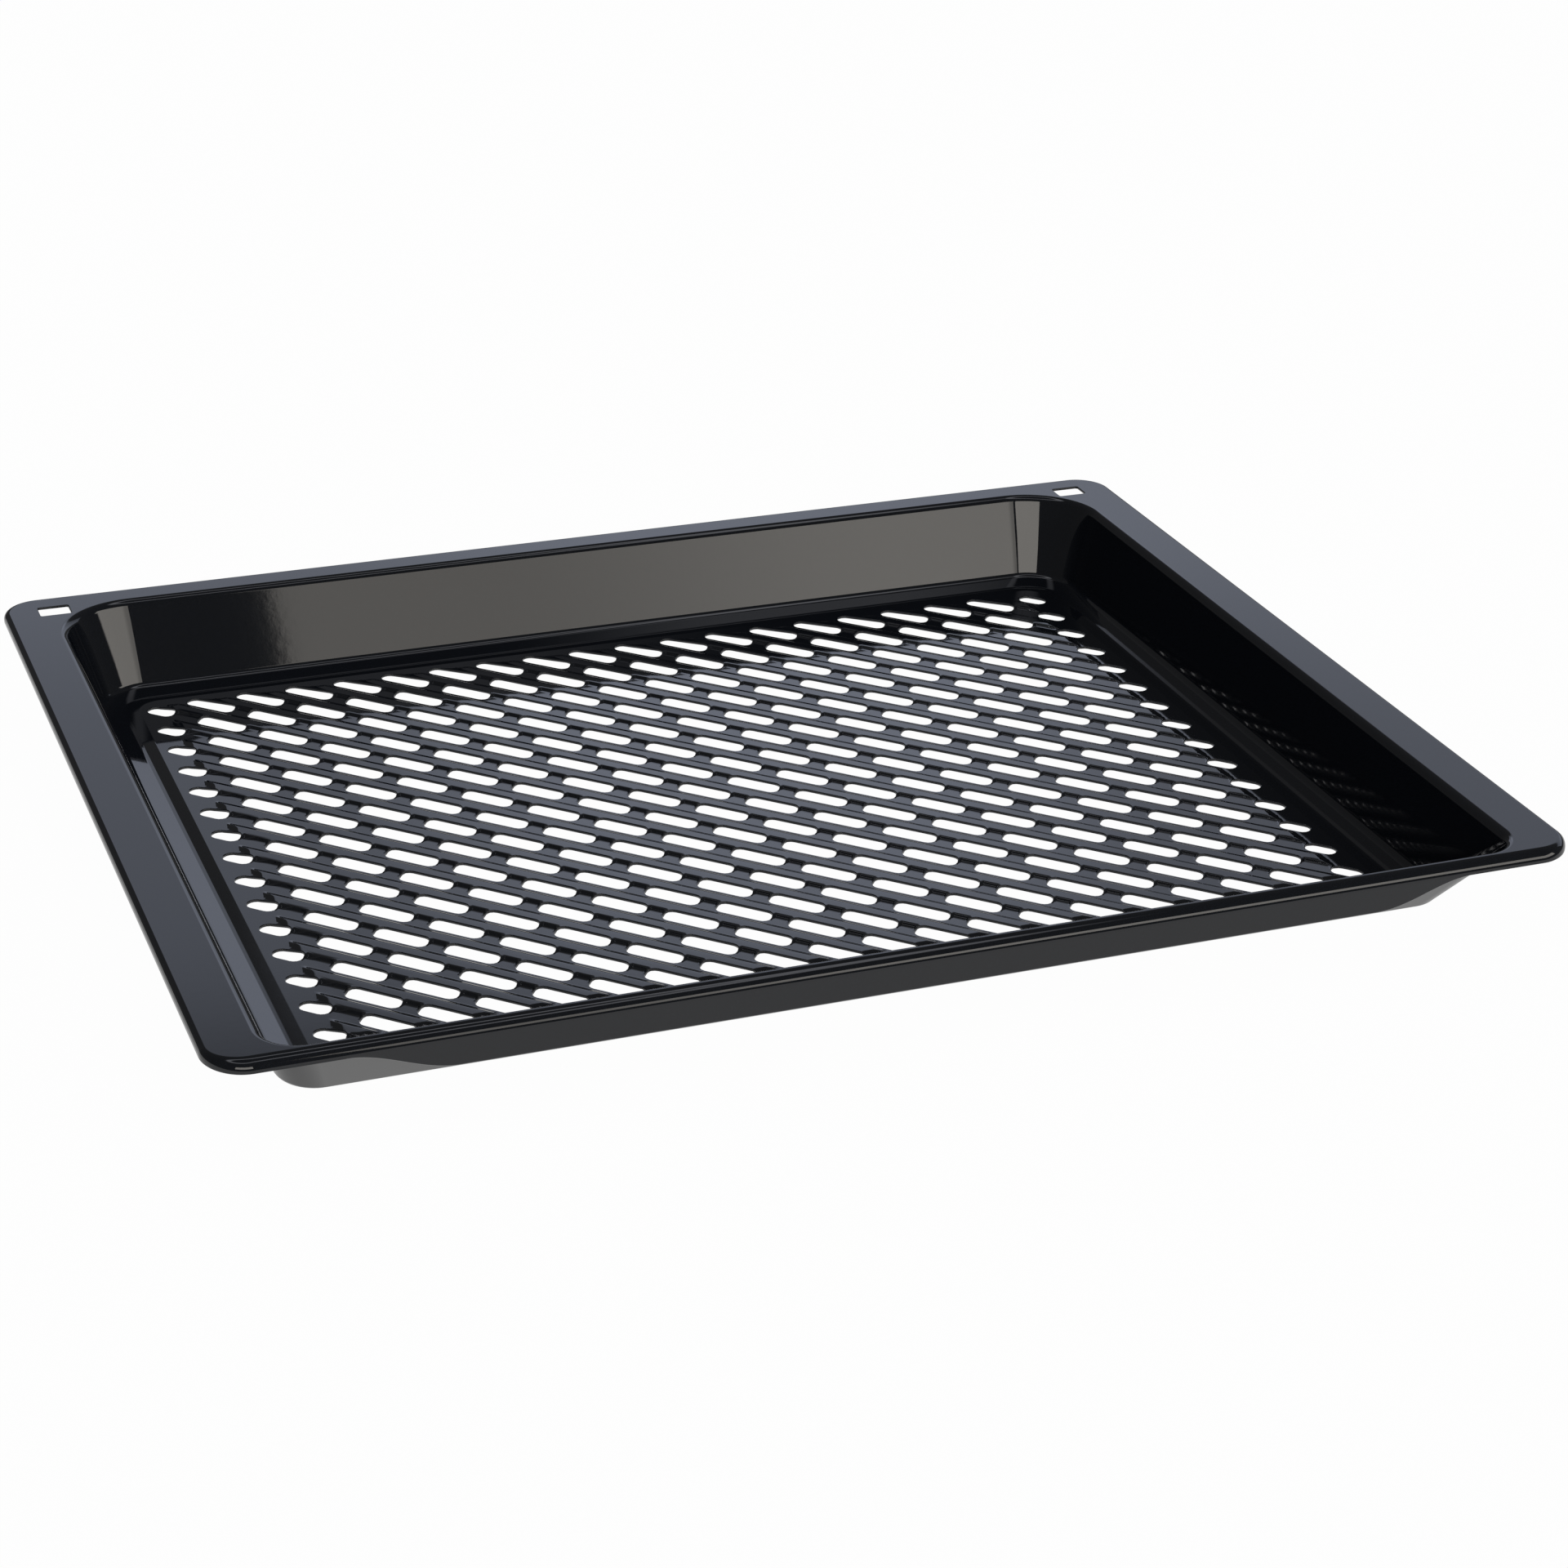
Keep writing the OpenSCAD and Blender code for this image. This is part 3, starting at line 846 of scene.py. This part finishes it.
@dataclass(frozen=True)
class VitreousEnamel:
    """Blue-black vitreous enamel, sprayed and fired on steel: a glassy coat with a faint wave.

    Firing leaves a soft swell a few millimetres long and a finer peel, which break up the edges
    of reflections, and tiny specks of lighter and darker glass.
    """

    colour: str = "#0f1218"
    speck: str = "#1d222b"
    speck_from: float = 0.56
    speck_to: float = 0.74
    speck_share: float = 0.6
    ior: float = 1.52
    roughness: float = 0.035
    swell_mm: float = 3.5
    swell_um: float = 2.6
    peel_mm: float = 0.9
    peel_um: float = 0.35
    speck_mm: float = 0.35

    def material(self) -> bpy.types.Material:
        """Makes the enamel, on Object coordinates.

        Returns:
            The material.
        """
        mat = bpy.data.materials.new("vitreous_enamel_blue_black")
        mat.use_nodes = True
        tree = mat.node_tree
        tree.nodes.clear()
        where = add_node(tree, "ShaderNodeTexCoord").outputs["Object"]
        specks = add_node(tree, "ShaderNodeTexNoise", {}, {
            "Vector": where, "Scale": 1 / (self.speck_mm * MM), "Detail": 1.0})
        share = add_node(tree, "ShaderNodeMapRange", {}, {
            "Value": specks.outputs["Fac"], "From Min": self.speck_from,
            "From Max": self.speck_to, "To Min": 0.0, "To Max": self.speck_share})
        colour = add_node(tree, "ShaderNodeMix", {"data_type": "RGBA"}, {
            "Factor": share.outputs["Result"], 6: linear(self.colour), 7: linear(self.speck)})
        swell = add_node(tree, "ShaderNodeTexNoise", {}, {
            "Vector": where, "Scale": 1 / (self.swell_mm * MM), "Detail": 2.0})
        peel = add_node(tree, "ShaderNodeTexNoise", {}, {
            "Vector": where, "Scale": 1 / (self.peel_mm * MM), "Detail": 1.0})
        wave = add_node(tree, "ShaderNodeBump", {}, {
            "Strength": 1.0, "Distance": self.swell_um * 1e-6, "Height": swell.outputs["Fac"]})
        fine = add_node(tree, "ShaderNodeBump", {}, {
            "Strength": 1.0, "Distance": self.peel_um * 1e-6, "Height": peel.outputs["Fac"],
            "Normal": wave.outputs["Normal"]})
        skin = add_node(tree, "ShaderNodeBsdfPrincipled", {}, {
            "Base Color": colour.outputs[2], "Roughness": self.roughness, "IOR": self.ior,
            "Normal": fine.outputs["Normal"]})
        add_node(tree, "ShaderNodeOutputMaterial", {}, {"Surface": skin.outputs["BSDF"]})
        return mat


@dataclass(frozen=True)
class Softbox:
    """A soft-edged rectangle of light far away, by compass and height in degrees.

    The compass starts behind the tray and turns to its right. soft is how far the light fades on
    either side of its edges, across and up.
    """

    az: tuple[float, float]
    el: tuple[float, float]
    strength: float
    colour: str = "#ffffff"
    soft: tuple[float, float] = (1.5, 1.5)


@dataclass(frozen=True)
class Studio:
    """White studio: a pale floor, a blue-grey backdrop, softboxes and dark between them.

    camera_white and mirror_white are the shares of plain white in what the camera and a reflection
    see of the floor. The rest is lit card, which has the tray's soft shadow.
    """

    ambient: float = 0.10
    floor_colour: str = "#f4f4f4"
    floor_m: float = 30.0
    camera_white: float = 0.98
    mirror_white: float = 0.68
    boxes: tuple[Softbox, ...] = (
        # The backdrop, brighter low down and in its middle, which the rim and the floor show.
        Softbox((6.3, 75), (12, 29.5), 0.72, "#d6dff5", (0.7, 2.5)),
        Softbox((6.3, 75), (12, 22), 0.17, "#d6dff5", (0.7, 2.0)),
        Softbox((15, 26), (21.5, 28), 0.60, "#d6dff5", (3.0, 3.0)),
        # Large boxes behind the camera with a gap between them, which the back wall shows.
        Softbox((112, 167.6), (16.5, 33.5), 1.95, "#fffaf2", (0.15, 0.5)),
        Softbox((112, 160), (16.5, 33.5), 1.0, "#fffaf2", (4.0, 0.5)),
        Softbox((171.2, 215), (16.5, 33.5), 3.4, "#fffaf2", (0.15, 0.5)),
        # A ring of light overhead, which draws thin lines along the bends.
        Softbox((-180, 180), (67, 73), 1.6, "#f4f6ff", (2.0, 2.0)),
    )

    def world(self) -> None:
        """Lights the scene from all round; the camera itself sees plain white."""
        world = bpy.data.worlds.new("studio")
        bpy.context.scene.world = world
        world.use_nodes = True
        tree = world.node_tree
        tree.nodes.clear()
        way = add_node(tree, "ShaderNodeSeparateXYZ", {}, {
            0: add_node(tree, "ShaderNodeTexCoord").outputs["Generated"]})
        az = add_node(tree, "ShaderNodeMath", {"operation": "ARCTAN2"}, {
            0: way.outputs["X"], 1: way.outputs["Y"]}).outputs[0]
        el = add_node(tree, "ShaderNodeMath", {"operation": "ARCSINE"}, {
            0: way.outputs["Z"]}).outputs[0]
        total = add_node(tree, "ShaderNodeRGB").outputs[0]
        total.default_value = (self.ambient, self.ambient, self.ambient, 1.0)
        for box in self.boxes:
            mask = self.inside(tree, az, el, box)
            tint = [c * box.strength for c in linear(box.colour)[:3]]
            lit = add_node(tree, "ShaderNodeVectorMath", {"operation": "SCALE"}, {
                0: tint, "Scale": mask})
            total = add_node(tree, "ShaderNodeVectorMath", {"operation": "ADD"}, {
                0: total, 1: lit.outputs[0]}).outputs[0]
        seen = add_node(tree, "ShaderNodeLightPath")
        plain = add_node(tree, "ShaderNodeMath", {"operation": "MAXIMUM"}, {
            0: seen.outputs["Is Camera Ray"], 1: seen.outputs["Is Transmission Ray"]})
        light = add_node(tree, "ShaderNodeMix", {"data_type": "RGBA"}, {
            "Factor": plain.outputs[0], 6: total, 7: (1.0, 1.0, 1.0, 1.0)})
        back = add_node(tree, "ShaderNodeBackground", {}, {"Color": light.outputs[2]})
        add_node(tree, "ShaderNodeOutputWorld", {}, {"Surface": back.outputs[0]})

    @staticmethod
    def inside(tree: bpy.types.NodeTree, az: bpy.types.NodeSocket, el: bpy.types.NodeSocket,
               box: Softbox) -> bpy.types.NodeSocket:
        """A value that is 1 inside a softbox's rectangle and falls to 0 over its soft edge.

        Args:
            tree: The world's tree.
            az: Compass direction in radians.
            el: Height in radians.
            box: The softbox.

        Returns:
            The product of a soft step up and a soft step down in each of both directions. The
            compass is turned so that the box's middle is at 0.
        """
        middle, half = np.mean(box.az), (box.az[1] - box.az[0]) / 2
        turned = add_node(tree, "ShaderNodeMath", {"operation": "WRAP"}, {
            0: add_node(tree, "ShaderNodeMath", {"operation": "SUBTRACT"}, {
                0: az, 1: float(np.radians(middle))}).outputs[0],
            1: float(np.pi), 2: float(-np.pi)}).outputs[0]
        off = add_node(tree, "ShaderNodeMath", {"operation": "ABSOLUTE"}, {0: turned}).outputs[0]
        high = add_node(tree, "ShaderNodeMath", {"operation": "ABSOLUTE"}, {
            0: add_node(tree, "ShaderNodeMath", {"operation": "SUBTRACT"}, {
                0: el, 1: float(np.radians(np.mean(box.el)))}).outputs[0]}).outputs[0]
        parts = []
        for value, reach, soft in ((off, half, box.soft[0]),
                                   (high, (box.el[1] - box.el[0]) / 2, box.soft[1])):
            parts.append(add_node(tree, "ShaderNodeMapRange", {
                "interpolation_type": "SMOOTHSTEP"}, {
                "Value": value, "From Min": float(np.radians(reach - soft)),
                "From Max": float(np.radians(reach + soft)), "To Min": 1.0,
                "To Max": 0.0}).outputs["Result"])
        return add_node(tree, "ShaderNodeMath", {"operation": "MULTIPLY"}, {
            0: parts[0], 1: parts[1]}).outputs[0]

    def floor(self) -> bpy.types.Object:
        """Makes the pale floor: a large card that shows nearly white and keeps a soft shadow.

        Returns:
            The floor's object, with its finish.
        """
        half = self.floor_m / 2
        mesh = bpy.data.meshes.new("studio_floor")
        mesh.from_pydata([(-half, -half, 0), (half, -half, 0), (half, half, 0), (-half, half, 0)],
                         [], [(0, 1, 2, 3)])
        card = bpy.data.objects.new("studio_floor", mesh)
        bpy.context.scene.collection.objects.link(card)
        mat = bpy.data.materials.new("white_card_matt")
        mat.use_nodes = True
        tree = mat.node_tree
        tree.nodes.clear()
        seen = add_node(tree, "ShaderNodeLightPath")
        plain = add_node(tree, "ShaderNodeMath", {"operation": "MAXIMUM"}, {
            0: seen.outputs["Is Camera Ray"], 1: seen.outputs["Is Transmission Ray"]})
        mirrored = add_node(tree, "ShaderNodeMath", {"operation": "MULTIPLY"}, {
            0: seen.outputs["Is Glossy Ray"], 1: self.mirror_white})
        share = add_node(tree, "ShaderNodeMath", {"operation": "MULTIPLY_ADD"}, {
            0: plain.outputs[0], 1: self.camera_white, 2: mirrored.outputs[0]})
        matt = add_node(tree, "ShaderNodeBsdfDiffuse", {}, {"Color": linear(self.floor_colour)})
        glow = add_node(tree, "ShaderNodeEmission", {}, {"Color": (1.0, 1.0, 1.0, 1.0)})
        both = add_node(tree, "ShaderNodeMixShader", {}, {
            0: share.outputs[0], 1: matt.outputs[0], 2: glow.outputs[0]})
        add_node(tree, "ShaderNodeOutputMaterial", {}, {"Surface": both.outputs[0]})
        mesh.materials.append(mat)
        return card


@dataclass(frozen=True)
class Viewpoint:
    """The photograph's viewpoint, solved from the slots' grid, the rim and the rear holes.

    turn is the rotation vector that takes the tray's axes to right, down and forward, shift the
    tray's middle at rim height in those axes in millimetres, and focal the focal length in pixels
    of a frame 1920 wide.
    """

    turn: tuple[float, float, float] = (1.98327, -0.34847, 0.24421)
    shift: tuple[float, float, float] = (-17.19942, -23.95538, 1225.28803)
    focal: float = 4260.38
    frame: int = 1920
    sensor_mm: float = 36.0

    def camera(self, rim_z: float) -> None:
        """Makes the scene's camera.

        Args:
            rim_z: Height of the rim's top, from which the shift is measured.
        """
        v = Vector(self.turn)
        rows = np.array(Matrix.Rotation(v.length, 3, v.normalized()))
        place = -rows.T @ np.array(self.shift) + [0, 0, rim_z]
        axes = np.stack([rows[0], -rows[1], -rows[2]], axis=1)
        lens = bpy.data.cameras.new("studio_camera")
        lens.sensor_width = self.sensor_mm
        lens.lens = self.focal * self.sensor_mm / self.frame
        lens.clip_start, lens.clip_end = 0.01, 100.0
        camera = bpy.data.objects.new("studio_camera", lens)
        turned = Matrix(axes.tolist()).to_4x4()
        camera.matrix_world = Matrix.Translation(Vector(place * MM)) @ turned
        bpy.context.scene.collection.objects.link(camera)
        bpy.context.scene.camera = camera


def main() -> None:
    """Builds the tray, dresses it and sets up the studio round it."""
    logging.basicConfig(level=logging.INFO, format="%(name)s: %(message)s")
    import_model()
    scene = bpy.context.scene
    scene.view_settings.view_transform = "Standard"

    tray = Tray()
    sheet = tray.build()
    sheet.data.materials.append(VitreousEnamel().material())
    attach(sheet, "root")
    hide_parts(NODE)
    sheet.data.calc_loop_triangles()
    LOG.info("enamelled sheet: %d triangles", len(sheet.data.loop_triangles))

    studio = Studio()
    studio.world()
    studio.floor()
    Viewpoint().camera(tray.height)
    LOG.info("studio: %d softboxes", len(studio.boxes))


if __name__ == "__main__":
    main()
